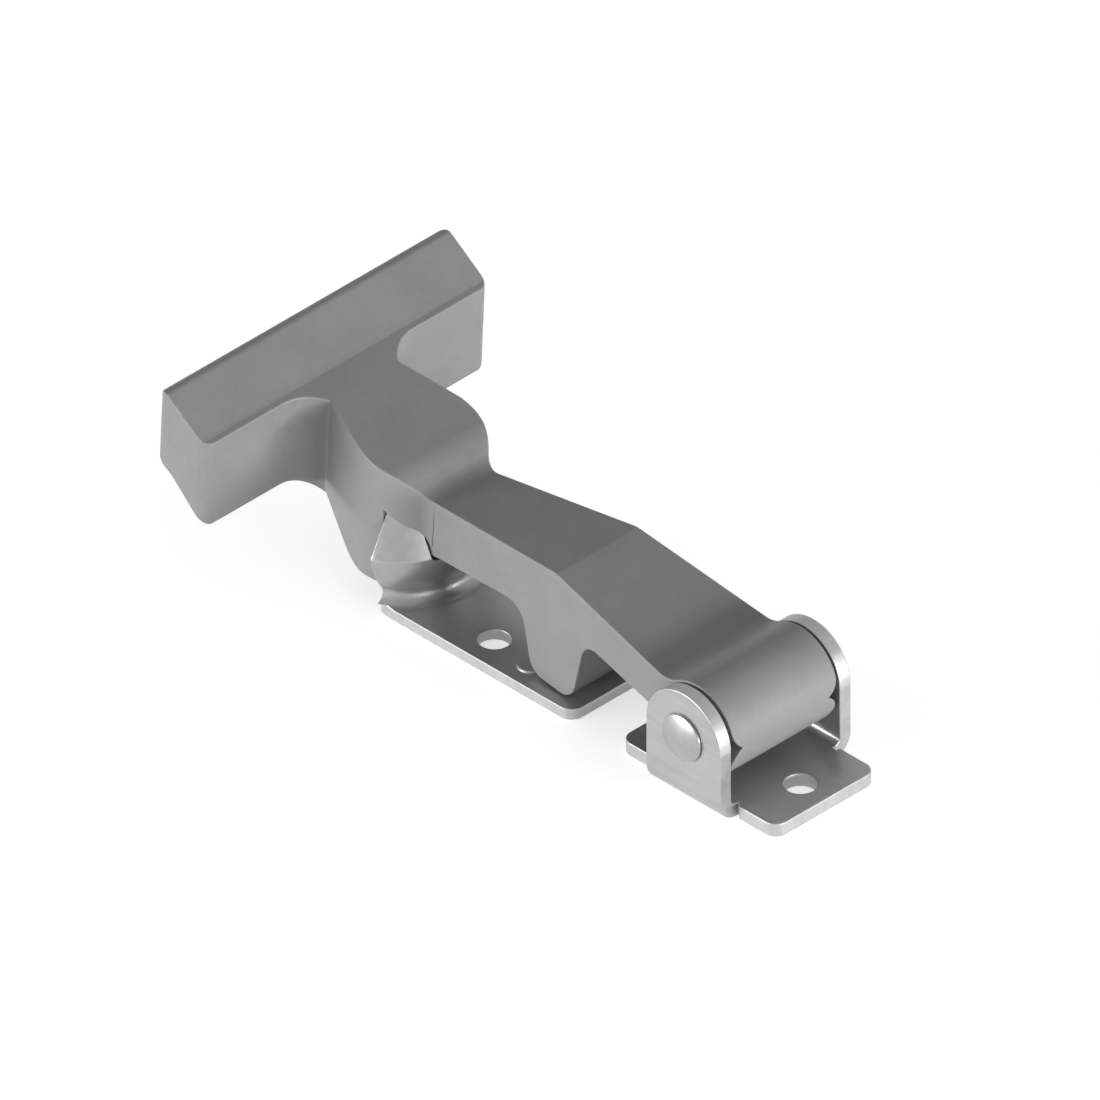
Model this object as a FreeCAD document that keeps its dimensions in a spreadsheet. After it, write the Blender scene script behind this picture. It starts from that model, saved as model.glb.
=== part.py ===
import FreeCAD, Part
import math
import os
import re

import Sketcher

# Draw latch with a rubber body: a pivot bracket, a riveted pin, a moulded latch body
# with a T-handle, and a pressed keeper.
# Frame: millimetres, +Z up from the mounting plane, +Y along the pivot pin, +X from the
# handle towards the bracket. The origin is the pin's axis dropped onto the mounting plane.

Vector = FreeCAD.Vector
doc = FreeCAD.newDocument("DrawLatch")

# Driving sizes. Lengths are millimetres and angles are degrees.

SIZES = {
    # Bracket: folded sheet with two ears.
    "bracket_sheet": 3.0,
    "bracket_length": 42.0,
    "flange_width": 27.2,
    "flange_corner": 2.8,
    "bracket_hole": 6.5,
    "bracket_hole_spacing": 28.0,
    "ear_width": 20.0,
    "ear_gap": 29.1,
    "bend_inside": 1.5,
    "relief_width": 1.0,
    "relief_depth": 0.4,
    # Pivot pin: shouldered rivet.
    "pin_height": 15.6,
    "pin_shaft": 8.0,
    "pin_tenon": 6.4,
    "pin_head": 10.1,
    "pin_head_rim": 0.6,
    "pin_head_dome": 1.0,
    "pin_clearance": 0.05,
    # Keeper: flat plate with a drawn-up hook wall, round about a vertical axis.
    "keeper_sheet": 2.5,
    "keeper_front": 33.6,
    "keeper_width": 27.8,
    "keeper_corner": 3.0,
    "keeper_hole": 6.5,
    "keeper_hole_reach": 61.2,
    "keeper_hole_spacing": 14.0,
    "stop_diameter": 4.7,
    "stop_raise": 0.45,
    "stop_reach": 50.2,
    "stop_spacing": 17.3,
    "hook_axis_reach": 94.0,
    "hook_trim_inset": 9.2,
    "foot_radius": 18.9,
    "foot_bend": 2.5,
    "waist_angle": 33.0,
    "bulge_radius": 19.2,
    "bulge_height": 13.9,
    "band_radius": 20.0,
    "prong_lean": 23.3,
    "prong_height": 24.0,
    "slot_width": 16.4,
    "slot_floor": 13.4,
    "slot_corner": 0.8,
    "slot_clearance": 0.35,
    # Latch body, side view. Reach runs from the pin towards the handle and rise runs up
    # from the pin, both square to the body, which leans by body_lean about the pin.
    "body_lean": 2.6,
    "barrel_radius": 10.2,
    "barrel_side_gap": 0.63,
    "barrel_fillet": 6.5,
    "barrel_notch_depth": 2.5,
    "barrel_notch_height": 9.6,
    "barrel_notch_round": 4.6,
    "arm_root_reach": 4.0,
    "arm_root_top": 6.5,
    "arm_root_under": -2.5,
    "arm_knee_reach": 41.4,
    "arm_knee_rise": 12.5,
    "arm_knee_round": 5.0,
    "throat_reach": 32.3,
    "throat_rise": 1.4,
    "throat_round": 3.8,
    "foot_front_reach": 35.4,
    "foot_back_reach": 47.4,
    "foot_gap": 0.3,
    "foot_front_round": 4.5,
    "foot_back_round": 4.0,
    "foot_root_reach": 51.1,
    "foot_root_rise": -0.9,
    "foot_root_round": 5.0,
    "neck_inset": 16.2,
    "neck_top": 7.5,
    "neck_under": -5.0,
    "neck_root_round": 5.0,
    "crown_step": 4.1,
    "crown_rise": 12.1,
    "crown_flat": 0.44,
    "catch_toe_step": 2.5,
    "catch_length": 13.3,
    "catch_depth": -13.4,
    "catch_toe_round": 3.0,
    "catch_heel_round": 10.0,
    "handle_crease_beyond": 15.7,
    "handle_crease_rise": 19.2,
    "handle_back_beyond": 28.0,
    "handle_back_top": 27.1,
    "handle_back_round": 2.0,
    "handle_under_beyond": 23.2,
    "handle_under_rise": 7.1,
    "handle_back_under": 9.9,
    # Latch body, seen from above. Half widths of the moulding along its length.
    "arm_root_taper_reach": 10.2,
    "neck_half": 7.6,
    "neck_side_round": 5.5,
    "catch_side_step": 7.6,
    "catch_half": 15.0,
    "catch_side_flat": 0.67,
    "web_half": 8.0,
    "web_round": 9.8,
    "web_round_reach": 17.4,
    "handle_front_beyond": 14.4,
    "handle_width": 76.2,
    "handle_front_corner": 2.5,
    "handle_back_corner": 2.5,
}

# Sizes that follow from the driving sizes. The neck, the catch and the handle keep their
# distances from the hook's axis, so that the moulding always fits the keeper.

DERIVED = {
    "hook_trim_reach": "hook_axis_reach - hook_trim_inset",
    "barrel_width": "ear_gap - 2 * barrel_side_gap",
    "neck_reach": "hook_axis_reach - neck_inset",
    "crown_reach": "neck_reach + crown_step",
    "catch_reach": "neck_reach + catch_side_step",
    "catch_toe_reach": "neck_reach + catch_toe_step",
    "catch_heel_reach": "catch_toe_reach + catch_length",
    "handle_front_reach": "hook_axis_reach + handle_front_beyond",
    "handle_crease_reach": "hook_axis_reach + handle_crease_beyond",
    "handle_under_reach": "hook_axis_reach + handle_under_beyond",
    "handle_back_reach": "hook_axis_reach + handle_back_beyond",
    # The arm's top line, and the hollow round that joins it to the barrel.
    "arm_slope": "atan((arm_knee_rise - arm_root_top) / (arm_knee_reach - arm_root_reach))",
    "arm_line_height": "arm_root_top * cos(arm_slope) - arm_root_reach * sin(arm_slope)",
    "fillet_reach": "sqrt((barrel_radius + barrel_fillet) ^ 2"
                    " - (arm_line_height + barrel_fillet) ^ 2)",
    "fillet_share": "barrel_radius / (barrel_radius + barrel_fillet)",
    # The crown's round takes what the neck's round and a short flat leave of the climb.
    "arm_fall": "atan((arm_knee_rise - neck_top) / (neck_reach - arm_knee_reach))",
    "climb": "atan((crown_rise - neck_top) / crown_step)",
    "deck_slope": "atan((handle_crease_rise - crown_rise) / (handle_crease_reach - crown_reach))",
    "crown_round": "(crown_step / cos(climb) - neck_root_round * tan((climb + arm_fall) / 2)"
                   " - crown_flat) / tan((climb - deck_slope) / 2)",
    # The catch's side round does the same between the neck and the catch, seen from above.
    "side_taper": "atan((barrel_width / 2 - neck_half) / (neck_reach - arm_root_taper_reach))",
    "side_flare": "atan((catch_half - neck_half) / catch_side_step)",
    "side_return": "atan((catch_half - web_half) / (handle_front_reach - catch_reach))",
    "catch_side_round": "(catch_side_step / cos(side_flare)"
                        " - neck_side_round * tan((side_flare + side_taper) / 2)"
                        " - catch_side_flat) / tan((side_flare + side_return) / 2)",
}

sheet = doc.addObject("Spreadsheet::Sheet", "Sizes")
cells = [(alias, str(size)) for alias, size in SIZES.items()]
cells += [(alias, "=" + text) for alias, text in DERIVED.items()]
for row, (alias, content) in enumerate(cells, start=1):
    sheet.set("A%d" % row, alias.replace("_", " "))
    sheet.setAlias("B%d" % row, alias)
    sheet.set("B%d" % row, content)
doc.recompute()

FUNCTIONS = {"cos", "sin", "tan"}


def formula(text):
    """Turn plain size names into references to the sheet."""
    def reference(match):
        word = match.group(0)
        return word if word in FUNCTIONS else "Sizes." + word
    return re.sub(r"[a-z][a-z_]*", reference, text)


def value(text):
    """Work out a formula of size names as a number of millimetres or degrees."""
    return float(sheet.evalExpression(formula(text)))


def bind(target, prop, text):
    """Tie a property of an object to the sheet."""
    target.setExpression(prop, formula(text))


def place(target, x="", y="", z=""):
    """Tie an object's position to the sheet, one formula an axis."""
    for axis, text in (("x", x), ("y", y), ("z", z)):
        if text:
            bind(target, "Placement.Base." + axis, text)


# Sketches, bodies and features.

def make_body(name):
    """Start a solid of its own."""
    return doc.addObject("PartDesign::Body", name)


def make_sketch(body, name, plane, offset=""):
    """Put a sketch on one of the body's own planes, raised by an offset."""
    sketch = body.newObject("Sketcher::SketchObject", name)
    origin_plane = [item for item in body.Origin.OriginFeatures if item.Role == plane][0]
    sketch.AttachmentSupport = [(origin_plane, "")]
    sketch.MapMode = "FlatFace"
    if offset:
        bind(sketch, "AttachmentOffset.Base.z", offset)
    doc.recompute()
    return sketch


def arc_between(start, end, radius, side):
    """Short arc of a radius from start to end, its centre on the side given."""
    chord = end - start
    middle = (start + end) * 0.5
    across = Vector(-chord.y, chord.x, 0).normalize()
    depth = math.sqrt(max(radius ** 2 - (chord.Length / 2) ** 2, 0.0))
    centre = middle + across * (side * depth)
    first = math.atan2(start.y - centre.y, start.x - centre.x)
    last = math.atan2(end.y - centre.y, end.x - centre.x)
    if side < 0:
        first, last = last, first
    circle = Part.Circle(centre, Vector(0, 0, 1), radius)
    return Part.ArcOfCircle(circle, first, last)


def pin_point(sketch, index, position, x_text, y_text):
    """Tie one point of a sketch to its two formulas."""
    for kind, text in (("DistanceX", x_text), ("DistanceY", y_text)):
        constraint = Sketcher.Constraint(kind, -1, 1, index, position, value(text))
        number = sketch.addConstraint(constraint)
        sketch.setExpression("Constraints[%d]" % number, formula(text))


def draw_outline(sketch, corners):
    """Closed outline through corners of (x, y) or, where an arc leaves the corner,
    (x, y, radius, side): side 1 has the arc's centre to the left of the way on."""
    points = [Vector(value(corner[0]), value(corner[1]), 0) for corner in corners]
    first = sketch.GeometryCount
    ends = []
    for number, corner in enumerate(corners):
        start, end = points[number], points[(number + 1) % len(points)]
        if len(corner) > 2:
            side = corner[3]
            index = sketch.addGeometry(arc_between(start, end, value(corner[2]), side))
            ends.append((1, 2) if side > 0 else (2, 1))
        else:
            index = sketch.addGeometry(Part.LineSegment(start, end))
            ends.append((1, 2))
    for number, corner in enumerate(corners):
        index = first + number
        before = first + (number - 1) % len(corners)
        sketch.addConstraint(Sketcher.Constraint(
            "Coincident", before, ends[number - 1][1], index, ends[number][0]))
        pin_point(sketch, index, ends[number][0], corner[0], corner[1])
        if len(corner) > 2:
            radius = sketch.addConstraint(Sketcher.Constraint("Radius", index, value(corner[2])))
            sketch.setExpression("Constraints[%d]" % radius, formula(corner[2]))


def draw_circle(sketch, x_text, y_text, radius_text):
    """Full circle with its centre and radius tied to the sheet."""
    centre = Vector(value(x_text), value(y_text), 0)
    circle = Part.Circle(centre, Vector(0, 0, 1), value(radius_text))
    index = sketch.addGeometry(circle)
    pin_point(sketch, index, 3, x_text, y_text)
    radius = sketch.addConstraint(Sketcher.Constraint("Radius", index, value(radius_text)))
    sketch.setExpression("Constraints[%d]" % radius, formula(radius_text))


def rectangle(x_low, x_high, y_low, y_high):
    """Corners of a rectangle, anticlockwise."""
    return [(x_low, y_low), (x_high, y_low), (x_high, y_high), (x_low, y_high)]


def pad(body, sketch, length, both_ways=False, backwards=False):
    """Add the sketch's area over a length."""
    feature = body.newObject("PartDesign::Pad", sketch.Name + "Pad")
    feature.Profile = sketch
    bind(feature, "Length", length)
    feature.Midplane = both_ways
    feature.Reversed = backwards
    doc.recompute()
    return feature


def pocket(body, sketch, length, both_ways=False, backwards=False):
    """Cut the sketch's area over a length, and make sure that it took something away."""
    volume = body.Shape.Volume
    feature = body.newObject("PartDesign::Pocket", sketch.Name + "Pocket")
    feature.Profile = sketch
    bind(feature, "Length", length)
    feature.Midplane = both_ways
    feature.Reversed = backwards
    doc.recompute()
    if body.Shape.Volume >= volume:
        raise ValueError(sketch.Name + " cuts nothing")
    return feature


def revolve(body, sketch, axis):
    """Turn the sketch's area all the way round one of its own axes."""
    feature = body.newObject("PartDesign::Revolution", sketch.Name + "Turned")
    feature.Profile = sketch
    feature.ReferenceAxis = (sketch, [axis])
    feature.Angle = 360
    doc.recompute()
    return feature


TOUCH = 0.01


def edges_through(shape, direction, places):
    """Names of the straight edges along a direction that pass through given places.
    A place holds a formula or None for each of X, Y and Z."""
    wanted = [[None if text is None else value(text) for text in spot] for spot in places]
    names = []
    for number, edge in enumerate(shape.Edges, start=1):
        if edge.Curve.TypeId != "Part::GeomLine":
            continue
        if abs(edge.tangentAt(edge.FirstParameter).dot(direction)) < 1 - TOUCH:
            continue
        middle = edge.valueAt((edge.FirstParameter + edge.LastParameter) / 2)
        for spot in wanted:
            pairs = zip(spot, middle)
            if all(goal is None or abs(goal - here) < TOUCH for goal, here in pairs):
                names.append("Edge%d" % number)
    return names


def soften(body, name, direction, places, radius):
    """Round the straight edges of a body at the places given."""
    base = body.Tip
    feature = body.newObject("PartDesign::Fillet", name)
    feature.Base = (base, edges_through(base.Shape, direction, places))
    bind(feature, "Radius", radius)
    doc.recompute()
    return feature


def boolean(kind, name, base, tool):
    """Cut, fuse or intersect two objects."""
    result = doc.addObject("Part::" + kind, name)
    result.Base = base
    result.Tool = tool
    doc.recompute()
    return result


def box(name, x_low, x_high, y_low, y_high, z_low, z_high):
    """Block between six formulas."""
    block = doc.addObject("Part::Box", name)
    bind(block, "Length", "%s - (%s)" % (x_high, x_low))
    bind(block, "Width", "%s - (%s)" % (y_high, y_low))
    bind(block, "Height", "%s - (%s)" % (z_high, z_low))
    place(block, x_low, y_low, z_low)
    return block


X_WAY = Vector(1, 0, 0)
Y_WAY = Vector(0, 1, 0)
Z_WAY = Vector(0, 0, 1)


# Bracket: a flat base with two flanges and two ears folded up from it.

def make_bracket():
    body = make_body("bracket")
    half_flange = "flange_width / 2"
    half_strip = "ear_gap / 2 + bracket_sheet"
    half_ear = "ear_width / 2"

    flanges = make_sketch(body, "Flanges", "XY_Plane")
    draw_outline(flanges, rectangle(
        "-bracket_length / 2", "bracket_length / 2", "-" + half_flange, half_flange))
    pad(body, flanges, "bracket_sheet")
    ends = [(end + "bracket_length / 2", side + half_flange, None)
            for end in ("-", "") for side in ("-", "")]
    soften(body, "FlangeCorners", Z_WAY, ends, "flange_corner")

    strip = make_sketch(body, "Strip", "XY_Plane")
    draw_outline(strip, rectangle(
        "-" + half_ear, half_ear, "-(%s)" % half_strip, half_strip))
    pad(body, strip, "bracket_sheet")

    # Each ear is upright up to the pin's height and round about the pin above it.
    for name, way in (("NearEar", ""), ("FarEar", "-")):
        ear = make_sketch(body, name, "XZ_Plane", "%s(ear_gap / 2)" % way)
        draw_outline(ear, [
            ("-" + half_ear, "bracket_sheet / 2"),
            (half_ear, "bracket_sheet / 2"),
            (half_ear, "pin_height", half_ear, 1),
            ("0 * ear_width", "pin_height + " + half_ear, half_ear, 1),
            ("-" + half_ear, "pin_height"),
        ])
        pad(body, ear, "bracket_sheet", backwards=way == "-")

    # Small reliefs let the ears bend without tearing the flanges.
    tangent = "ear_gap / 2 - bend_inside - relief_depth"
    beyond = half_flange + " + relief_width"
    reliefs = make_sketch(body, "Reliefs", "XY_Plane")
    for low, high in ((tangent, beyond), ("-(%s)" % beyond, "-(%s)" % tangent)):
        draw_outline(reliefs, rectangle(half_ear, half_ear + " + relief_width", low, high))
        draw_outline(reliefs, rectangle("-%s - relief_width" % half_ear, "-" + half_ear, low, high))
    pocket(body, reliefs, "bracket_sheet", backwards=True)

    sides = [(None, side + "(ear_gap / 2)", "bracket_sheet") for side in ("-", "")]
    soften(body, "InsideBends", X_WAY, sides, "bend_inside")
    sides = [(None, "%s(%s)" % (side, half_strip), "0 * bracket_sheet") for side in ("-", "")]
    soften(body, "OutsideBends", X_WAY, sides, "bend_inside + bracket_sheet")

    holes = make_sketch(body, "BracketHoles", "XY_Plane")
    for end in ("-", ""):
        draw_circle(holes, end + "bracket_hole_spacing / 2", "0 * bracket_hole", "bracket_hole / 2")
    pocket(body, holes, "bracket_sheet", backwards=True)

    pin_holes = make_sketch(body, "PinHoles", "XZ_Plane")
    draw_circle(pin_holes, "0 * pin_tenon", "pin_height", "pin_tenon / 2 + pin_clearance")
    pocket(body, pin_holes, "2 * ear_gap", both_ways=True)
    return body


# Pivot pin: a shaft between the ears, a tenon through each ear and a domed head outside.

def make_pin():
    body = make_body("pivot_pin")
    inner = "ear_gap / 2"
    outer = inner + " + bracket_sheet"
    rim = outer + " + pin_head_rim"
    top = rim + " + pin_head_dome"
    dome = "((pin_head / 2) ^ 2 + pin_head_dome ^ 2) / (2 * pin_head_dome)"
    profile = make_sketch(body, "PinProfile", "XY_Plane")
    draw_outline(profile, [
        ("0 * pin_head", "-(%s)" % top, dome, 1),
        ("pin_head / 2", "-(%s)" % rim),
        ("pin_head / 2", "-(%s)" % outer),
        ("pin_tenon / 2", "-(%s)" % outer),
        ("pin_tenon / 2", "-(%s)" % inner),
        ("pin_shaft / 2", "-(%s)" % inner),
        ("pin_shaft / 2", inner),
        ("pin_tenon / 2", inner),
        ("pin_tenon / 2", outer),
        ("pin_head / 2", outer),
        ("pin_head / 2", rim, dome, 1),
        ("0 * pin_head", top),
    ])
    revolve(body, profile, "V_Axis")
    place(body, z="pin_height")
    return body


# Keeper: a plate with two screw holes and two raised stops. Its end is drawn up into a
# wall round a vertical axis: concave foot, waist, bulge, and two prongs that lean back.

FOOT_CENTRE = "keeper_sheet + foot_bend"
TIP_OUTSIDE = "bulge_radius - (prong_height - bulge_height) * tan(prong_lean)"
TIP_INSIDE = TIP_OUTSIDE + " - keeper_sheet * cos(prong_lean)"
BULGE_INSIDE = "bulge_radius - keeper_sheet"
BULGE_INSIDE_HEIGHT = "bulge_height - keeper_sheet * tan(prong_lean / 2)"
WAIST_INSIDE = "foot_radius - foot_bend - keeper_sheet"


def make_plate():
    body = make_body("keeper_plate")
    half = "keeper_width / 2"
    plate = make_sketch(body, "Plate", "XY_Plane")
    draw_outline(plate, rectangle("-hook_axis_reach", "-keeper_front", "-" + half, half))
    pad(body, plate, "keeper_sheet")
    corners = [("-keeper_front", side + half, None) for side in ("-", "")]
    soften(body, "PlateCorners", Z_WAY, corners, "keeper_corner")

    inside = make_sketch(body, "WallInside", "XY_Plane")
    draw_circle(inside, "-hook_axis_reach", "0 * foot_radius", "foot_radius + foot_bend / 5")
    pocket(body, inside, "keeper_sheet", backwards=True)

    holes = make_sketch(body, "KeeperHoles", "XY_Plane")
    for side in ("-", ""):
        draw_circle(holes, "-keeper_hole_reach", side + "keeper_hole_spacing / 2", "keeper_hole / 2")
    pocket(body, holes, "keeper_sheet", backwards=True)

    # The stops are half pierced: each raised disc has a matching recess below it.
    stops = make_sketch(body, "Stops", "XY_Plane", "keeper_sheet")
    for side in ("-", ""):
        draw_circle(stops, "-stop_reach", side + "stop_spacing / 2", "stop_diameter / 2")
    pad(body, stops, "stop_raise")
    recesses = make_sketch(body, "StopRecesses", "XY_Plane")
    for side in ("-", ""):
        draw_circle(recesses, "-stop_reach", side + "stop_spacing / 2", "stop_diameter / 2")
    pocket(body, recesses, "stop_raise", backwards=True)
    return body


def make_wall():
    body = make_body("hook_wall")
    inner_bend = "(foot_bend + keeper_sheet)"
    section = make_sketch(body, "WallSection", "XZ_Plane")
    draw_outline(section, [
        ("foot_radius + foot_bend / 2", "0 * keeper_sheet"),
        ("foot_radius + foot_bend / 2", "keeper_sheet"),
        ("foot_radius", "keeper_sheet", "foot_bend", -1),
        ("foot_radius - foot_bend * cos(waist_angle)",
         FOOT_CENTRE + " + foot_bend * sin(waist_angle)", "band_radius", 1),
        ("bulge_radius", "bulge_height"),
        (TIP_OUTSIDE, "prong_height"),
        (TIP_INSIDE, "prong_height - keeper_sheet * sin(prong_lean)"),
        (BULGE_INSIDE, BULGE_INSIDE_HEIGHT, "band_radius - keeper_sheet", -1),
        ("foot_radius - %s * cos(waist_angle)" % inner_bend,
         FOOT_CENTRE + " + %s * sin(waist_angle)" % inner_bend, inner_bend, 1),
        ("foot_radius", "0 * keeper_sheet"),
    ])
    revolve(body, section, "V_Axis")
    place(body, x="-hook_axis_reach")
    return body


def make_slot():
    """Block that cuts the slot between the prongs, its lower corners rounded."""
    body = make_body("slot_form")
    slot = make_sketch(body, "Slot", "YZ_Plane")
    draw_outline(slot, rectangle(
        "-slot_width / 2", "slot_width / 2", "slot_floor", "prong_height + bulge_height"))
    pad(body, slot, "2 * hook_axis_reach", both_ways=True)
    corners = [(None, side + "slot_width / 2", "slot_floor") for side in ("-", "")]
    soften(body, "SlotCorners", X_WAY, corners, "slot_corner")
    return body


def make_keeper():
    above = "prong_height + bulge_height"
    beyond = "2 * hook_axis_reach"
    wall = boolean("Cut", "slotted_wall", make_wall(), make_slot())
    behind = box("behind_trim", "-" + beyond, "-hook_trim_reach",
                 "-" + beyond, beyond, "-bulge_height", above)
    wall = boolean("Cut", "trimmed_wall", wall, behind)
    # The foot's flange ends in line with the plate's long edges.
    low = "keeper_sheet + foot_bend / 8"
    for name, low_y, high_y in (("near_foot", "-" + beyond, "-keeper_width / 2"),
                                ("far_foot", "keeper_width / 2", beyond)):
        side = box(name + "_trim", "-" + beyond, "0 * keeper_front", low_y, high_y,
                   "-bulge_height", low)
        wall = boolean("Cut", name + "_cut", wall, side)
    keeper = boolean("Fuse", "keeper", make_plate(), wall)
    keeper.Refine = True
    return keeper


# Latch body: one rubber moulding, the meeting of its side view and its plan.

def lean(target):
    """Lean an object with the latch body, about the pin."""
    target.Placement = FreeCAD.Placement(Vector(), FreeCAD.Rotation(Y_WAY, 1))
    bind(target, "Placement.Rotation.Angle", "body_lean")
    place(target, z="pin_height")


def make_side_form():
    body = make_body("side_form")
    # The foot's sole clears the keeper plate by the foot's gap at its front corner.
    sole = ("-(pin_height - keeper_sheet - foot_gap) / cos(body_lean)"
            " - foot_front_reach * tan(body_lean)")
    corners = [
        ("arm_root_reach", "arm_root_under", None),
        ("arm_root_reach", "arm_root_top", None),
        ("arm_knee_reach", "arm_knee_rise", "arm_knee_round"),
        ("neck_reach", "neck_top", "neck_root_round"),
        ("crown_reach", "crown_rise", "crown_round"),
        ("handle_crease_reach", "handle_crease_rise", None),
        ("handle_back_reach", "handle_back_top", "handle_back_round"),
        ("handle_back_reach", "handle_back_under", None),
        ("handle_under_reach", "handle_under_rise", None),
        ("catch_heel_reach", "catch_depth", "catch_heel_round"),
        ("catch_toe_reach", "catch_depth", "catch_toe_round"),
        ("neck_reach", "neck_under", None),
        ("foot_root_reach", "foot_root_rise", "foot_root_round"),
        ("foot_back_reach", sole, "foot_back_round"),
        ("foot_front_reach", sole, "foot_front_round"),
        ("throat_reach", "throat_rise", "throat_round"),
    ]
    side = make_sketch(body, "SideView", "XZ_Plane")
    draw_outline(side, [("-" + reach, rise) for reach, rise, rounding in corners])
    pad(body, side, "handle_width + barrel_width", both_ways=True)
    for number, (reach, rise, rounding) in enumerate(corners):
        if rounding:
            soften(body, "SideRound%d" % number, Y_WAY, [("-" + reach, None, rise)], rounding)
    barrel = make_sketch(body, "Barrel", "XZ_Plane")
    draw_circle(barrel, "0 * barrel_radius", "0 * barrel_radius", "barrel_radius")
    pad(body, barrel, "handle_width + barrel_width", both_ways=True)

    def beside_arm(along, up):
        """Point at a distance along and above the arm's top line, seen from the pin."""
        return ("-((%s) * cos(arm_slope) - (%s) * sin(arm_slope))" % (along, up),
                "(%s) * sin(arm_slope) + (%s) * cos(arm_slope)" % (along, up))

    hollow = make_sketch(body, "BarrelHollow", "XZ_Plane")
    draw_outline(hollow, [
        beside_arm("fillet_reach", "arm_line_height") + ("barrel_fillet", 1),
        beside_arm("fillet_reach * fillet_share",
                   "(arm_line_height + barrel_fillet) * fillet_share"),
        ("0 * barrel_radius", "0 * barrel_radius"),
    ])
    pad(body, hollow, "handle_width + barrel_width", both_ways=True)
    return body


def make_plan_form():
    body = make_body("plan_form")
    depth = "4 * handle_back_top"
    front = "-handle_front_reach"
    back = "-handle_back_reach"
    half = "handle_width / 2"

    handle = make_sketch(body, "Handle", "XY_Plane")
    draw_outline(handle, rectangle(back, front, "-" + half, half))
    pad(body, handle, depth, both_ways=True)
    for name, edge, radius in (("HandleFront", front, "handle_front_corner"),
                               ("HandleBack", back, "handle_back_corner")):
        places = [(edge, side + half, None) for side in ("-", "")]
        soften(body, name, Z_WAY, places, radius)

    # The web opens from the neck into the handle in a hollow quarter round each side.
    web = make_sketch(body, "Web", "XY_Plane")
    inset = front + " - handle_back_corner"
    throat = "web_round_reach - web_round"
    draw_outline(web, [
        (inset, "-web_round_reach"),
        (front, "-web_round_reach", "web_round", -1),
        (front + " + web_round", "-(%s)" % throat),
        (front + " + web_round", throat, "web_round", -1),
        (front, "web_round_reach"),
        (inset, "web_round_reach"),
    ])
    pad(body, web, depth, both_ways=True)

    corners = [
        ("handle_front_reach", "web_half", None),
        ("catch_reach", "catch_half", "catch_side_round"),
        ("neck_reach", "neck_half", "neck_side_round"),
        ("arm_root_taper_reach", "barrel_width / 2", None),
        ("(-barrel_radius - barrel_fillet)", "barrel_width / 2", None),
    ]
    arm = make_sketch(body, "Arm", "XY_Plane")
    near = [("-" + reach, "-(%s)" % half_width) for reach, half_width, rounding in corners]
    far = [("-" + reach, half_width) for reach, half_width, rounding in reversed(corners)]
    draw_outline(arm, near + far)
    pad(body, arm, depth, both_ways=True)
    for number, (reach, half_width, rounding) in enumerate(corners):
        if rounding:
            places = [("-" + reach, "%s(%s)" % (side, half_width), None) for side in ("-", "")]
            soften(body, "PlanRound%d" % number, Z_WAY, places, rounding)
    return body


def make_notches():
    """Cusped notches across the front half of the barrel's ends, level with the pin."""
    body = make_body("notch_form")
    end = "barrel_width / 2"
    tip = "barrel_width / 2 - barrel_notch_depth"
    outside = "barrel_width / 2 + barrel_notch_depth"
    high = "barrel_notch_height / 2"
    notches = make_sketch(body, "Notches", "YZ_Plane")
    for way, side in (("", -1), ("-", 1)):
        draw_outline(notches, [
            ("%s(%s)" % (way, end), high, "barrel_notch_round", side),
            ("%s(%s)" % (way, tip), "0 * barrel_radius", "barrel_notch_round", side),
            ("%s(%s)" % (way, end), "-" + high),
            ("%s(%s)" % (way, outside), "-" + high),
            ("%s(%s)" % (way, outside), high),
        ])
    pad(body, notches, "2 * barrel_radius")
    return body


def make_hook_room():
    """Room in the moulding for the keeper's wall, open downwards so that it lifts off."""
    below = "-bulge_height"
    far_out = "foot_radius + bulge_radius"
    cradle = make_body("cradle_form")
    section = make_sketch(cradle, "CradleSection", "XZ_Plane")
    draw_outline(section, [
        (WAIST_INSIDE + " - slot_clearance", below),
        (far_out, below),
        (far_out, "slot_floor + slot_clearance"),
        (BULGE_INSIDE + " - slot_clearance", "slot_floor + slot_clearance"),
        (WAIST_INSIDE + " - slot_clearance", FOOT_CENTRE),
    ])
    revolve(cradle, section, "V_Axis")
    place(cradle, x="-hook_axis_reach")

    prongs = make_body("prong_form")
    section = make_sketch(prongs, "ProngSection", "XZ_Plane")
    draw_outline(section, [
        (TIP_INSIDE + " - slot_clearance", below),
        ("bulge_radius + slot_clearance", below),
        ("bulge_radius + slot_clearance", "bulge_height"),
        (TIP_OUTSIDE + " + slot_clearance", "prong_height + slot_clearance"),
        (TIP_INSIDE + " - slot_clearance", "prong_height + slot_clearance"),
    ])
    revolve(prongs, section, "V_Axis")
    place(prongs, x="-hook_axis_reach")

    beyond = "2 * hook_axis_reach"
    above = "prong_height + bulge_height"
    half_neck = "slot_width / 2 - slot_clearance"
    neck = box("neck_room", "-" + beyond, "0 * keeper_front", "-(%s)" % half_neck, half_neck,
               "-2 * bulge_height", above)
    room = boolean("Fuse", "hook_ring", cradle, boolean("Cut", "prong_room", prongs, neck))
    front = box("front_of_trim", "-hook_trim_reach - slot_clearance", "0 * keeper_front",
                "-" + beyond, beyond, "-2 * bulge_height", above)
    return boolean("Common", "hook_room", room, front)


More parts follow.
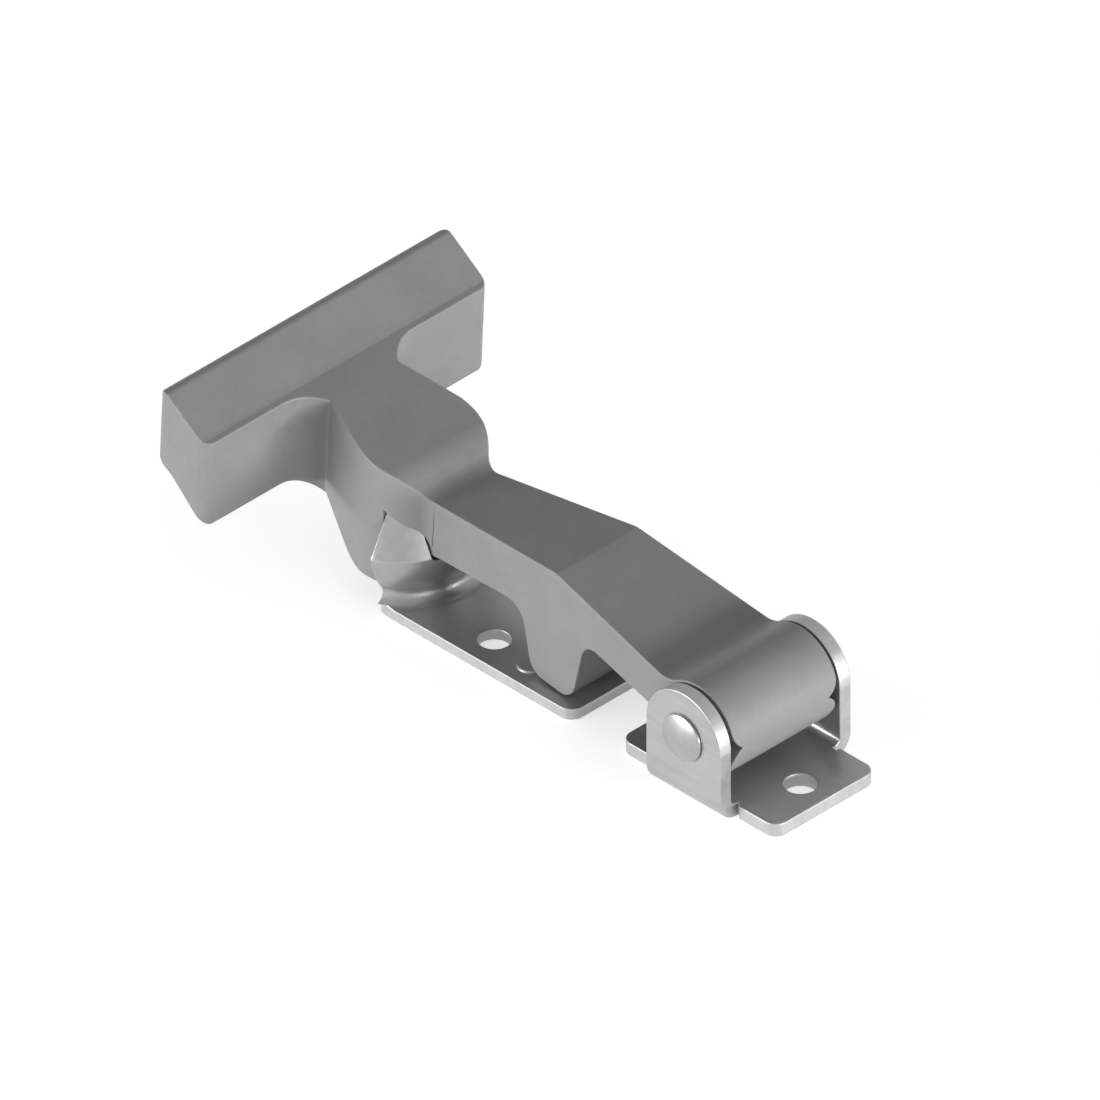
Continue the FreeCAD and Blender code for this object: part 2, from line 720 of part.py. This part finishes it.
def make_latch_body():
    side = make_side_form()
    plan = make_plan_form()
    notches = make_notches()
    for form in (side, plan, notches):
        lean(form)
    moulding = boolean("Common", "moulding", side, plan)
    moulding = boolean("Cut", "notched_moulding", moulding, notches)

    bore = doc.addObject("Part::Cylinder", "bore_form")
    bore.Placement = FreeCAD.Placement(Vector(), FreeCAD.Rotation(X_WAY, -90))
    bind(bore, "Radius", "pin_shaft / 2 + pin_clearance")
    bind(bore, "Height", "2 * ear_gap")
    place(bore, y="-ear_gap", z="pin_height")
    moulding = boolean("Cut", "bored_moulding", moulding, bore)

    latch = boolean("Cut", "latch_body", moulding, make_hook_room())
    latch.Refine = True
    return latch


# Everything is made, checked and written.

PIECES = {
    "bracket": make_bracket(),
    "pivot_pin": make_pin(),
    "keeper": make_keeper(),
    "latch_body": make_latch_body(),
}
for name, piece in PIECES.items():
    piece.Label = name
doc.recompute()

for item in doc.Objects:
    if "Invalid" in item.State or "Error" in item.State:
        raise ValueError("%s failed: %s" % (item.Name, item.State))
for name, piece in PIECES.items():
    if piece.Shape.isNull() or not piece.Shape.isValid():
        raise ValueError(name + " has no valid shape")
    if len(piece.Shape.Solids) != 1:
        raise ValueError("%s has %d solids" % (name, len(piece.Shape.Solids)))

os.makedirs("parts", exist_ok=True)
for name, piece in PIECES.items():
    piece.Shape.exportStep(os.path.join("parts", name + ".step"))
    limits = piece.Shape.BoundBox
    print("%-11s %8.1f mm3  x %.1f to %.1f  y %.1f to %.1f  z %.1f to %.1f" % (
        name, piece.Shape.Volume, limits.XMin, limits.XMax, limits.YMin, limits.YMax,
        limits.ZMin, limits.ZMax))
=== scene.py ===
"""Looks of a draw latch: rubber latch body, folded bracket, riveted pin and pressed keeper."""

import logging
import math
from contextlib import contextmanager
from dataclasses import dataclass, field
from enum import Enum
from typing import Callable, Dict, Iterator, Optional, Tuple, Union

import bpy
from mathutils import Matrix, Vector


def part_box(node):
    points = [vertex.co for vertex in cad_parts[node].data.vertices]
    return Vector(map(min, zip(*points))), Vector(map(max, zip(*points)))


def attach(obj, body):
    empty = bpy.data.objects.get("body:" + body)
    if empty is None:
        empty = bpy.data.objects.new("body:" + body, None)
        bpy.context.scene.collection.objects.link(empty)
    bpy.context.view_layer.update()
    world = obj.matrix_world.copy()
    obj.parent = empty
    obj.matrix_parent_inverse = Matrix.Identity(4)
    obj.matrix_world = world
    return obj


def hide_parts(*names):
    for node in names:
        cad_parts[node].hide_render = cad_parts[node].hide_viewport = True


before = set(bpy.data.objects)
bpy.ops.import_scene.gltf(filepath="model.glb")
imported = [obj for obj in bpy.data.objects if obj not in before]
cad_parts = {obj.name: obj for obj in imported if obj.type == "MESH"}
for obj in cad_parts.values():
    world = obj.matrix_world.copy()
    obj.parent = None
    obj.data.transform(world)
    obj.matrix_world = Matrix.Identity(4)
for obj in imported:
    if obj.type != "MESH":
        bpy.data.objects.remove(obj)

LOG = logging.getLogger("draw_latch")
MM = 0.001

Colour = Tuple[float, float, float, float]
Number = Union[float, int]
FaceTest = Callable[[Vector, Vector], bool]

WHITE: Colour = (1.0, 1.0, 1.0, 1.0)
BLACK: Colour = (0.0, 0.0, 0.0, 1.0)

# A face stands along an axis where its normal has less than BESIDE on that axis, and squarely
# across it where it has more than ACROSS. MARGIN is the room that a face's place is given.
BESIDE = 0.3
ACROSS = 0.95
MARGIN = 0.05 * MM


class Body(Enum):
    """The two moving groups of the latch."""

    BASE = "base"
    LATCH = "latch"


def grey(level: float, warmth: float = 0.0) -> Colour:
    """Give a near-grey colour from its screen level, a little warm or cool.

    Args:
        level: Screen brightness from 0 to 1.
        warmth: Share by which red rises and blue falls.

    Returns:
        The colour in the renderer's linear values, with alpha 1.
    """
    shades = (level * (1 + warmth), level, level * (1 - warmth))
    # The standard curve from screen values to linear ones.
    linear = [s / 12.92 if s <= 0.04045 else ((s + 0.055) / 1.055) ** 2.4 for s in shades]
    return (linear[0], linear[1], linear[2], 1.0)


class Socket:
    """Wraps a node's output so that plain arithmetic on it adds Math nodes."""

    def __init__(self, shader: "Shader", output: bpy.types.NodeSocket) -> None:
        """Keep the tree that new nodes go into and the output that carries the value."""
        self.shader = shader
        self.output = output

    def _maths(self, operation: str, *values: Union["Socket", Number]) -> "Socket":
        """Add a Math node of one operation, with what goes into its inputs in order."""
        inputs = dict(enumerate(values))
        return self.shader.node("ShaderNodeMath", {"operation": operation}, inputs)

    def __add__(self, other: Union["Socket", Number]) -> "Socket":
        """Add another value."""
        return self._maths("ADD", self, other)

    def __radd__(self, other: Number) -> "Socket":
        """Add to a plain number."""
        return self._maths("ADD", other, self)

    def __sub__(self, other: Union["Socket", Number]) -> "Socket":
        """Take another value away."""
        return self._maths("SUBTRACT", self, other)

    def __rsub__(self, other: Number) -> "Socket":
        """Take this value away from a plain number."""
        return self._maths("SUBTRACT", other, self)

    def __mul__(self, other: Union["Socket", Number]) -> "Socket":
        """Multiply by another value."""
        return self._maths("MULTIPLY", self, other)

    def __rmul__(self, other: Number) -> "Socket":
        """Multiply a plain number."""
        return self._maths("MULTIPLY", other, self)

    def sine(self) -> "Socket":
        """Give the sine of an angle in radians."""
        return self._maths("SINE", self)

    def swing(self, gain: Number) -> "Socket":
        """Give a gain times the value's distance from 0.5, the middle of a pattern."""
        return (self - 0.5) * gain

    def clamped(self) -> "Socket":
        """Hold the value between 0 and 1."""
        return self.shader.node("ShaderNodeClamp", {}, {"Value": self}, "Result")


@dataclass(frozen=True)
class Pattern:
    """A smooth random pattern: its waves per metre, its octaves and how they are weighed.

    The contrast is a factor on the distance from the middle, where plain noise crowds.
    """

    scale: float
    octaves: float
    roughness: float
    contrast: float = 2.2


class Shader:
    """A material's node tree with its one Principled surface, or the world's tree."""

    def __init__(self, name: str, world: Optional[bpy.types.World] = None) -> None:
        """Start a material, or take over a world's tree.

        Args:
            name: The material's name.
            world: The world, if this isn't a material.
        """
        self.material = bpy.data.materials.new(name) if world is None else None
        owner = self.material or world
        owner.use_nodes = True
        self.tree = owner.node_tree
        self.surface = self.tree.nodes["Principled BSDF" if world is None else "Background"]

    @property
    def place(self) -> Socket:
        """Give the surface's place on the object."""
        return self.node("ShaderNodeTexCoord", {}, {}, "Object")

    def seen_directly(self) -> Socket:
        """Give 1 for rays from the camera and for mirrored or see-through ones.

        Returns:
            That mask, 0 for all other rays.
        """
        rays = [self.node("ShaderNodeLightPath", {}, {}, kind)
                for kind in ("Is Camera Ray", "Is Glossy Ray", "Is Transmission Ray")]
        return (rays[0] + rays[1] + rays[2]).clamped()

    def node(self, kind: str, settings: Dict[str, object],
             inputs: Dict[Union[int, str], object], output: Union[int, str] = 0) -> Socket:
        """Add a node of any type.

        Args:
            kind: The node's type.
            settings: Attributes that are set first.
            inputs: Values or links, by the input's name or number.
            output: Which output is wanted.

        Returns:
            That output, wrapped.
        """
        new = self.tree.nodes.new(kind)
        for name, setting in settings.items():
            if name == "stops":
                self._set_stops(new.color_ramp, setting)
            else:
                setattr(new, name, setting)
        for name, given in inputs.items():
            self.feed(new, name, given)
        return Socket(self, new.outputs[output])

    @staticmethod
    def _set_stops(ramp: bpy.types.ColorRamp, stops: object) -> None:
        """Give a colour ramp its stops.

        Args:
            ramp: The ramp.
            stops: Pairs of a place and a colour, lowest place first.
        """
        pairs = list(stops)
        while len(ramp.elements) < len(pairs):
            ramp.elements.new(1.0)
        for element, (place, colour) in zip(ramp.elements, pairs):
            element.position = place
            element.color = colour

    def feed(self, target: bpy.types.Node, name: Union[int, str], given: object) -> None:
        """Link a wrapped output to an input, or set the input's value.

        Args:
            target: The node.
            name: The input's name or number.
            given: A wrapped output or a plain value.
        """
        if isinstance(given, Socket):
            self.tree.links.new(given.output, target.inputs[name])
        else:
            target.inputs[name].default_value = given

    def set(self, **values: object) -> None:
        """Feed the Principled surface, an underscore standing for a space."""
        for name, given in values.items():
            self.feed(self.surface, name.replace("_", " "), given)

    def stretched(self, scale: Tuple[float, float, float]) -> Socket:
        """Give the surface's place, scaled along each axis."""
        return self.node("ShaderNodeMapping", {}, {"Vector": self.place, "Scale": scale})

    def noise(self, place: Socket, pattern: Pattern) -> Socket:
        """Give smooth noise that fills the range from 0 to 1.

        Args:
            place: Where it is read.
            pattern: Its scale, octaves and contrast.

        Returns:
            The noise value.
        """
        plain = self.node("ShaderNodeTexNoise", {}, {
            "Vector": place, "Scale": pattern.scale, "Detail": pattern.octaves,
            "Roughness": pattern.roughness})
        return (plain.swing(pattern.contrast) + 0.5).clamped()

    def mix(self, share: Union[Socket, float], low: object, high: object) -> Socket:
        """Mix two colours, where a share of 0 gives the first."""
        # By number, because the node repeats its socket names for each kind of data.
        return self.node("ShaderNodeMix", {"data_type": "RGBA"}, {0: share, 6: low, 7: high}, 2)

    def mottled(self, shade: Socket, level: float, spread: float,
                warmth: float = 0.0) -> Socket:
        """Give a grey that a shade from 0 to 1 makes a little darker or lighter."""
        return self.mix(shade, grey(level - spread, warmth), grey(level + spread, warmth))

    def bump(self, height: Socket, depth: float) -> Socket:
        """Turn a height from 0 to 1 into a bent normal, the depth being what 1 means in metres."""
        return self.node("ShaderNodeBump", {},
                         {"Height": height, "Distance": depth, "Strength": 1.0})


@dataclass(frozen=True)
class MouldedRubber:
    """Mid-grey rubber with a fine mould grain, its rubbed edges a little lighter."""

    name: str = "latch_rubber"
    level: float = 0.508
    level_spread: float = 0.028
    warmth: float = 0.004
    worn_gain: float = 0.02
    roughness: float = 0.52
    worn_roughness: float = 0.44
    specular: float = 0.38
    bloom: Pattern = Pattern(55.0, 5.0, 0.6)
    bloom_gloss: float = 0.08
    bloom_share: float = 0.7
    grain: Pattern = Pattern(2200.0, 2.0, 0.6)
    grain_gloss: float = 0.14
    grain_share: float = 0.6
    grain_depth: float = 0.00002
    pores: Pattern = Pattern(660.0, 3.0, 0.7)

    def make(self, worn: bool = False) -> bpy.types.Material:
        """Build the material.

        Args:
            worn: True for the eased edges, which hands have rubbed.

        Returns:
            The material.
        """
        shader = Shader(self.name + ("_edge" if worn else ""))
        level = self.level + (self.worn_gain if worn else 0.0)
        base_rough = self.worn_roughness if worn else self.roughness
        bloom = shader.noise(shader.place, self.bloom)
        grain = shader.noise(shader.place, self.grain)
        pores = shader.noise(shader.place, self.pores)
        shade = (bloom * self.bloom_share + pores * (1 - self.bloom_share)).clamped()
        relief = grain * self.grain_share + pores * (1 - self.grain_share)
        rough = base_rough + grain.swing(self.grain_gloss) + bloom.swing(self.bloom_gloss)
        shader.set(Base_Color=shader.mottled(shade, level, self.level_spread, self.warmth),
                   Specular_IOR_Level=self.specular, Roughness=rough.clamped(),
                   Normal=shader.bump(relief, self.grain_depth))
        return shader.material


class Grain(Enum):
    """The way that a steel face's fine lines run."""

    ALONG_X = (0.03, 1.0, 1.0)
    ALONG_Y = (1.0, 0.05, 1.0)
    ALONG_Z = (1.0, 1.0, 0.05)


@dataclass(frozen=True)
class PlatedSteel:
    """Zinc-plated sheet with faint rolling lines and a clouded gloss."""

    name: str
    grain: Grain = Grain.ALONG_X
    level: float = 0.66
    level_spread: float = 0.04
    warmth: float = 0.003
    metallic: float = 0.7
    roughness: float = 0.37
    cloud: Pattern = Pattern(90.0, 2.0, 0.5, contrast=1.6)
    cloud_gloss: float = 0.10
    cloud_share: float = 0.5
    lines: Pattern = Pattern(800.0, 1.0, 0.5, contrast=1.5)
    line_gloss: float = 0.12
    line_depth: float = 0.000006

    def make(self) -> bpy.types.Material:
        """Build the material.

        Returns:
            The material.
        """
        shader = Shader(self.name)
        cloud = shader.noise(shader.place, self.cloud)
        lines = shader.noise(shader.stretched(self.grain.value), self.lines)
        shade = (cloud * self.cloud_share + lines * (1 - self.cloud_share)).clamped()
        rough = self.roughness + lines.swing(self.line_gloss) + cloud.swing(self.cloud_gloss)
        shader.set(Base_Color=shader.mottled(shade, self.level, self.level_spread, self.warmth),
                   Metallic=self.metallic, Roughness=rough.clamped(),
                   Normal=shader.bump(lines, self.line_depth))
        return shader.material


@dataclass(frozen=True)
class BlankedEdge(PlatedSteel):
    """The cut edge of plated sheet: paler, duller and more deeply lined than its faces."""

    level: float = 0.70
    roughness: float = 0.44
    line_depth: float = 0.00001


@dataclass(frozen=True)
class FormedHead:
    """Zinc-plated rivet steel with the fine rings that a forming tool leaves."""

    name: str = "pin_steel"
    level: float = 0.67
    level_spread: float = 0.02
    roughness: float = 0.25
    cloud: Pattern = Pattern(350.0, 5.0, 0.6)
    cloud_gloss: float = 0.06
    ring_pitch: float = 0.35 * MM
    ring_gloss: float = 0.03
    ring_depth: float = 0.000003

    def make(self, axis_height: float) -> bpy.types.Material:
        """Build the material.

        Args:
            axis_height: Height of the pin's axis, about which the rings run.

        Returns:
            The material.
        """
        shader = Shader(self.name)
        flat_place = shader.node("ShaderNodeMapping", {}, {
            "Vector": shader.place, "Location": (0.0, 0.0, -axis_height),
            "Scale": (1.0, 0.0, 1.0)})
        reach = shader.node("ShaderNodeVectorMath", {"operation": "LENGTH"},
                            {0: flat_place}, "Value")
        # The sine's range from -1 to 1 becomes one from 0 to 1.
        rings = (reach * (2 * math.pi / self.ring_pitch)).sine() * 0.5 + 0.5
        cloud = shader.noise(shader.place, self.cloud)
        rough = self.roughness + cloud.swing(self.cloud_gloss) + rings * self.ring_gloss
        shader.set(Base_Color=shader.mottled(cloud, self.level, self.level_spread),
                   Metallic=1.0, Roughness=rough.clamped(),
                   Normal=shader.bump(rings, self.ring_depth))
        return shader.material


@contextmanager
def editing(piece: bpy.types.Object) -> Iterator[None]:
    """Hold one piece in edit mode, selected alone, and leave it selected and active.

    Args:
        piece: The piece.

    Yields:
        Nothing.
    """
    bpy.ops.object.select_all(action="DESELECT")
    piece.select_set(True)
    bpy.context.view_layer.objects.active = piece
    bpy.ops.object.mode_set(mode="EDIT")
    yield
    bpy.ops.object.mode_set(mode="OBJECT")


@dataclass
class CadPiece:
    """A CAD part shown by a cleaned copy of itself with eased edges."""

    node: str
    body: Body
    slot: str
    edge_round: float = 0.25 * MM
    edge_steps: int = 3
    sharp_angle: float = math.radians(28)
    smooth_angle: float = math.radians(35)
    flat_angle: float = math.radians(0.5)
    merge_distance: float = 0.002 * MM
    sliver: float = 0.0002 * MM
    area_weight: int = 100

    def copy_of_node(self) -> bpy.types.Object:
        """Copy the CAD node's mesh, merge its doubled points and join its flat faces.

        Returns:
            The new piece, at the origin with its place in its mesh.
        """
        piece = bpy.data.objects.new(self.node + "_shown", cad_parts[self.node].data.copy())
        bpy.context.scene.collection.objects.link(piece)
        piece.data.materials.clear()
        with editing(piece):
            bpy.ops.mesh.select_all(action="SELECT")
            bpy.ops.mesh.remove_doubles(threshold=self.merge_distance)
            bpy.ops.mesh.customdata_custom_splitnormals_clear()
            bpy.ops.mesh.dissolve_limited(angle_limit=self.flat_angle)
        return piece

    def is_eased(self, place: Vector) -> bool:
        """Tell whether a sharp edge with its middle at this place is rounded: here, all are."""
        return True

    def mark_edges(self, piece: bpy.types.Object) -> None:
        """Give the sharp edges that are to be rounded their bevel weight.

        Args:
            piece: The piece.
        """
        with editing(piece):
            bpy.ops.mesh.select_mode(type="EDGE")
            bpy.ops.mesh.select_all(action="DESELECT")
            bpy.ops.mesh.edges_select_sharp(sharpness=self.sharp_angle)
        points = piece.data.vertices
        weights = piece.data.attributes.new("bevel_weight_edge", "FLOAT", "EDGE")
        for edge in piece.data.edges:
            middle = (points[edge.vertices[0]].co + points[edge.vertices[1]].co) / 2
            if edge.select and self.is_eased(middle):
                weights.data[edge.index].value = 1.0

    def ease_edges(self, piece: bpy.types.Object, edge_slot: int = -1) -> None:
        """Round the piece's marked edges a little, and keep its flat faces flat in shading.

        Args:
            piece: The piece.
            edge_slot: The material slot that the rounds take, or -1 for their neighbours'.
        """
        self.mark_edges(piece)
        bevel = piece.modifiers.new("eased_edges", "BEVEL")
        bevel.width = self.edge_round
        bevel.segments = self.edge_steps
        bevel.limit_method = "WEIGHT"
        bevel.use_clamp_overlap = False
        bevel.loop_slide = False
        bevel.material = edge_slot
        bpy.ops.object.modifier_apply(modifier=bevel.name)
        with editing(piece):
            bpy.ops.mesh.select_all(action="SELECT")
            bpy.ops.mesh.dissolve_degenerate(threshold=self.sliver)
        bpy.ops.object.shade_smooth_by_angle(angle=self.smooth_angle)
        weighted = piece.modifiers.new("flat_faces_flat", "WEIGHTED_NORMAL")
        weighted.mode = "FACE_AREA"
        weighted.weight = self.area_weight
        weighted.keep_sharp = True
        bpy.ops.object.modifier_apply(modifier=weighted.name)

    @staticmethod
    def dress_faces(piece: bpy.types.Object, material: bpy.types.Material,
                    test: FaceTest) -> None:
        """Give the faces that pass a test a material of their own.

        Args:
            piece: The piece, which already has its main material.
            material: The faces' material.
            test: Takes a face's centre and normal, and says whether it is one of them.
        """
        piece.data.materials.append(material)
        with editing(piece):
            bpy.ops.mesh.select_mode(type="FACE")
            bpy.ops.mesh.select_all(action="DESELECT")
        for face in piece.data.polygons:
            face.select = test(face.center, face.normal)
        with editing(piece):
            piece.active_material_index = len(piece.data.materials) - 1
            bpy.ops.object.material_slot_assign()

    def hand_over(self, piece: bpy.types.Object) -> None:
        """Let the piece stand for its CAD node and ride on its body.

        Args:
            piece: The finished piece.
        """
        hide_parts(self.node)
        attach(piece, self.body.value)
        LOG.info("%s: %d faces", piece.name, len(piece.data.polygons))


@dataclass
class LatchBody(CadPiece):
    """The rubber moulding: barrel, arm, foot, catch and T-handle."""

    node: str = "latch_body"
    body: Body = Body.LATCH
    slot: str = "latch_rubber"
    edge_round: float = 0.3 * MM
    rubber: MouldedRubber = MouldedRubber()

    def build(self) -> None:
        """Make the moulding and dress it."""
        piece = self.copy_of_node()
        piece.data.materials.append(self.rubber.make())
        piece.data.materials.append(self.rubber.make(worn=True))
        self.ease_edges(piece, edge_slot=1)
        self.hand_over(piece)


@dataclass
class Bracket(CadPiece):
    """The folded bracket: a base with two flanges and two upright ears."""

    node: str = "bracket"
    body: Body = Body.BASE
    slot: str = "bracket_steel"
    sheet: float = 3.0 * MM
    bend_top: float = 4.6 * MM
    ear_half_width: float = 10.0 * MM
    rolled: PlatedSteel = PlatedSteel("bracket_steel")
    base_cut: BlankedEdge = BlankedEdge("bracket_base_cut", Grain.ALONG_Z)
    ear_cut: BlankedEdge = BlankedEdge("bracket_ear_cut", Grain.ALONG_Y)

    def on_base_cut(self, centre: Vector, normal: Vector) -> bool:
        """Tell whether a face is a cut edge of the flanges or the wall of a screw hole."""
        on_flange = centre.z < self.sheet and abs(centre.x) > self.ear_half_width + MARGIN
        return on_flange and abs(normal.z) < BESIDE

    def on_ear_cut(self, centre: Vector, normal: Vector) -> bool:
        """Tell whether a face is a cut edge of an ear."""
        return centre.z > self.bend_top and abs(normal.y) < BESIDE

    def build(self) -> None:
        """Make the bracket and dress it."""
        piece = self.copy_of_node()
        piece.data.materials.append(self.rolled.make())
        self.dress_faces(piece, self.base_cut.make(), self.on_base_cut)
        self.dress_faces(piece, self.ear_cut.make(), self.on_ear_cut)
        self.ease_edges(piece)
        self.hand_over(piece)


@dataclass
class PivotPin(CadPiece):
    """The riveted pin: a shaft with a domed head outside each ear."""

    node: str = "pivot_pin"
    body: Body = Body.BASE
    slot: str = "pin_steel"
    edge_round: float = 0.2 * MM
    head: FormedHead = FormedHead()

    def build(self) -> None:
        """Make the pin and dress it."""
        low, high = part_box(self.node)
        piece = self.copy_of_node()
        piece.data.materials.append(self.head.make((low.z + high.z) / 2))
        self.ease_edges(piece)
        self.hand_over(piece)


@dataclass
class Keeper(CadPiece):
    """The keeper: a flat plate whose end is drawn up into a round, two-pronged hook wall."""

    node: str = "keeper"
    body: Body = Body.BASE
    slot: str = "keeper_steel"
    sheet: float = 2.5 * MM
    edge_round: float = 0.2 * MM
    slot_floor: float = 13.4 * MM
    ledge: Tuple[float, float] = (13.1 * MM, 13.5 * MM)
    trim_plane: float = -84.8 * MM
    plate_end: float = -82.33 * MM
    prong_top: float = 22.8 * MM
    rolled: PlatedSteel = PlatedSteel("keeper_steel")
    plate_cut: BlankedEdge = BlankedEdge("keeper_cut", Grain.ALONG_Z)
    wall_cut: BlankedEdge = BlankedEdge("keeper_wall_cut", Grain.ALONG_X)

    def is_eased(self, place: Vector) -> bool:
        """Leave the low ledge between the fold and the wall crisp."""
        return not self.ledge[0] < place.z < self.ledge[1]

    def on_plate_cut(self, centre: Vector, normal: Vector) -> bool:
        """Tell whether a face is a cut edge of the plate or the wall of a screw hole."""
        on_plate = centre.z < self.sheet and centre.x > self.plate_end
        return on_plate and abs(normal.z) < BESIDE

    def on_wall_cut(self, centre: Vector, normal: Vector) -> bool:
        """Tell whether a face is a trimmed end, a slot side or a prong's tip.

        Args:
            centre: The face's centre.
            normal: The face's normal.

        Returns:
            True if it is one of them.
        """
        end = normal.x < -ACROSS and centre.x < self.trim_plane + MARGIN
        side = abs(normal.y) > ACROSS and centre.z > self.slot_floor
        tip = normal.z > BESIDE and centre.z > self.prong_top
        return end or side or tip

    def build(self) -> None:
        """Make the keeper and dress it."""
        piece = self.copy_of_node()
        piece.data.materials.append(self.rolled.make())
        self.dress_faces(piece, self.plate_cut.make(), self.on_plate_cut)
        self.dress_faces(piece, self.wall_cut.make(), self.on_wall_cut)
        self.ease_edges(piece)
        self.hand_over(piece)


@dataclass(frozen=True)
class SoftLamp:
    """A wide, low lamp: its place from the middle of the object, and its power in watts."""

    name: str
    place: Tuple[float, float, float]
    power: float
    width: float = 0.9
    height: float = 0.14

    def stand(self, centre: Vector) -> None:
        """Stand the lamp up and turn it to the object.

        Args:
            centre: The middle of the object.
        """
        lamp = bpy.data.lights.new(self.name, "AREA")
        lamp.shape = "RECTANGLE"
        lamp.size = self.width
        lamp.size_y = self.height
        lamp.energy = self.power
        holder = bpy.data.objects.new(self.name, lamp)
        holder.location = centre + Vector(self.place)
        holder.rotation_euler = (-Vector(self.place)).to_track_quat("-Z", "Y").to_euler()
        bpy.context.scene.collection.objects.link(holder)


@dataclass
class Studio:
    """Pale floor, soft lamps, white surroundings and the camera."""

    centre: Vector = field(default_factory=lambda: Vector((-53.3, 0.0, 23.65)) * MM)
    azimuth: float = 45.0
    elevation: float = 35.264
    frame_width: float = 208.9 * MM
    camera_distance: float = 1.2
    floor_half: float = 3.0
    floor_drop: float = 0.02 * MM
    floor_level: float = 0.93
    floor_roughness: float = 0.9
    floor_glow: float = 0.79
    horizon_top: float = 0.0
    ceiling_start: float = 0.28
    ceiling_light: float = 0.40
    ceiling_mirrored: float = 0.64
    lamps: Tuple[SoftLamp, ...] = (SoftLamp("left_lamp", (-0.50, -1.16, 0.09), 15.5),
                                   SoftLamp("right_lamp", (1.26, 0.16, 0.06), 18.0))

    def add_floor(self) -> None:
        """Lay the floor: white where the camera or a reflection sees it, with the shadow kept."""
        bpy.ops.object.select_all(action="DESELECT")
        bpy.ops.mesh.primitive_plane_add(size=2 * self.floor_half,
                                         location=(0, 0, -self.floor_drop))
        floor = bpy.context.active_object
        floor.name = "studio_floor"
        bpy.ops.object.transform_apply(location=True)
        shader = Shader("studio_floor")
        seen = shader.seen_directly()
        glow = shader.mix(seen, BLACK, grey(self.floor_glow))
        shader.set(Base_Color=grey(self.floor_level), Roughness=self.floor_roughness,
                   Emission_Color=glow, Emission_Strength=1.0)
        floor.data.materials.append(shader.material)

    def add_world(self) -> None:
        """Surround the object with a white horizon under a dimmer ceiling.

        The camera always sees the white.
        """
        world = bpy.data.worlds.new("studio_world")
        bpy.context.scene.world = world
        shader = Shader("studio_world", world)
        direction = shader.node("ShaderNodeTexCoord", {}, {}, "Generated")
        height = shader.node("ShaderNodeSeparateXYZ", {}, {"Vector": direction}, "Z")
        lit, mirrored = (
            shader.node("ShaderNodeValToRGB", {"stops": [
                (self.horizon_top, WHITE), (self.ceiling_start, (level, level, level, 1.0))]},
                {"Fac": height})
            for level in (self.ceiling_light, self.ceiling_mirrored))
        glossy_ray = shader.node("ShaderNodeLightPath", {}, {}, "Is Glossy Ray")
        camera_ray = shader.node("ShaderNodeLightPath", {}, {}, "Is Camera Ray")
        around = shader.mix(glossy_ray, lit, mirrored)
        shader.feed(shader.surface, "Color", shader.mix(camera_ray, around, WHITE))

    def add_lamps(self) -> None:
        """Stand a lamp on each of the two sides that the camera sees."""
        for lamp in self.lamps:
            lamp.stand(self.centre)

    def add_camera(self) -> None:
        """Place the camera at the photograph's angle, without perspective."""
        az, el = math.radians(self.azimuth), math.radians(self.elevation)
        toward = Vector((math.cos(el) * math.sin(az), -math.cos(el) * math.cos(az), math.sin(el)))
        camera = bpy.data.objects.new("camera", bpy.data.cameras.new("camera"))
        camera.data.type = "ORTHO"
        camera.data.ortho_scale = self.frame_width
        camera.data.clip_end = 2 * self.camera_distance
        camera.location = self.centre + toward * self.camera_distance
        camera.rotation_euler = (-toward).to_track_quat("-Z", "Y").to_euler()
        bpy.context.scene.collection.objects.link(camera)
        bpy.context.scene.camera = camera


def main() -> None:
    """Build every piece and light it."""
    logging.basicConfig(level=logging.INFO, format="%(message)s")
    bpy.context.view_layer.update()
    for part in (LatchBody(), Bracket(), PivotPin(), Keeper()):
        part.build()
    studio = Studio()
    studio.add_floor()
    studio.add_world()
    studio.add_lamps()
    studio.add_camera()
    bpy.context.scene.view_settings.view_transform = "Standard"


if __name__ == "__main__":
    main()
